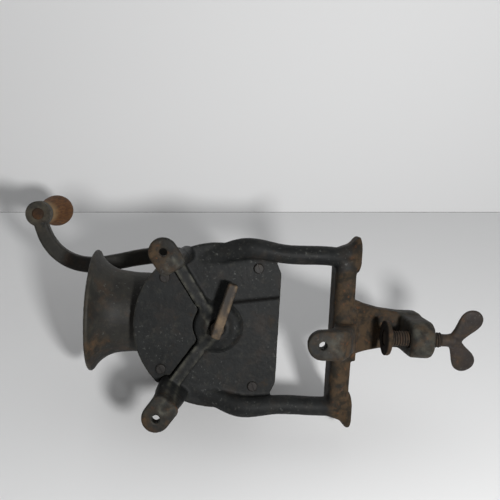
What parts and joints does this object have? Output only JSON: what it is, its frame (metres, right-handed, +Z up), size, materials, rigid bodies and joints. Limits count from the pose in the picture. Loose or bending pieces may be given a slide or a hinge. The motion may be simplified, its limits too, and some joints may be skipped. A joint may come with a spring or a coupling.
{
  "type": "hand crank coffee grinder",
  "caption": "Cast-iron hand crank coffee mill with a flared hopper, burrs in a round drum, an S-shaped crank, a table clamp with a thumb screw and standoff ears for a wall.",
  "frame": {"origin": "middle of the table seat under the base bar", "axes": "+Z up with the hopper mouth, -Y towards the wall or the table, +Y along the crank shaft to the crank"},
  "size_m": [0.1653, 0.252, 0.3835],
  "materials": {
    "japanned_iron": "worn black japan on cast iron, dull sheen",
    "worn_iron": "dark iron worn by handling, brown patina",
    "bare_iron": "bare grey iron",
    "dark_steel": "dark aged steel",
    "bright_steel": "turned steel",
    "rusty_steel": "rusted steel",
    "turned_wood": "turned hardwood with worn varnish"
  },
  "bodies": {
    "frame": {"rear_frame": "japanned_iron", "hopper_housing": "japanned_iron", "back_cover": "japanned_iron", "front_cover": "japanned_iron", "cover_screws": "dark_steel", "frame_screws": "dark_steel", "front_screws": "dark_steel", "burr_screws": "dark_steel", "fixed_burr": "bare_iron"},
    "thrust": {"thrust_ball": "bright_steel"},
    "adjuster": {"adjusting_screw": "worn_iron"},
    "crank": {"crank_shaft": "bright_steel", "feed_worm": "bare_iron", "worm_pin": "bright_steel", "rotating_burr": "bare_iron", "thrust_spring": "bright_steel", "crank_arm": "japanned_iron", "crank_washer": "dark_steel", "crank_nut": "dark_steel", "knob_pin": "rusty_steel", "knob_washer": "dark_steel"},
    "knob": {"knob": "turned_wood"},
    "clamp_pad": {"clamp_pad": "rusty_steel"},
    "clamp_screw": {"clamp_screw": "worn_iron"}
  },
  "joints": [
    {"name": "grind_setting", "type": "slide", "parent": "frame", "child": "thrust", "axis": [0, 1, 0], "range_m": [-0.0015, 0.0005]},
    {"name": "adjuster_turn", "type": "hinge", "parent": "thrust", "child": "adjuster", "pos_m": [0, 0, 0.107], "axis": [0, 1, 0], "range_deg": [-361, 121]},
    {"name": "crank_turn", "type": "hinge", "parent": "thrust", "child": "crank", "pos_m": [0, 0, 0.107], "axis": [0, 1, 0], "continuous": true},
    {"name": "knob_turn", "type": "hinge", "parent": "crank", "child": "knob", "pos_m": [0.0743, 0, 0.2708], "axis": [0, 1, 0], "continuous": true},
    {"name": "clamp_travel", "type": "slide", "parent": "frame", "child": "clamp_pad", "axis": [0, 0, 1], "range_m": [-0.0145, 0.0105]},
    {"name": "clamp_screw_turn", "type": "hinge", "parent": "clamp_pad", "child": "clamp_screw", "pos_m": [-0.0015, -0.01, 0], "axis": [0, 0, 1], "range_deg": [-2615, 1895]}
  ],
  "couplings": [
    {"joint": "adjuster_turn", "follows": "grind_setting", "rad_per_m": 4188.8},
    {"joint": "clamp_screw_turn", "follows": "clamp_travel", "rad_per_m": 3141.6}
  ]
}
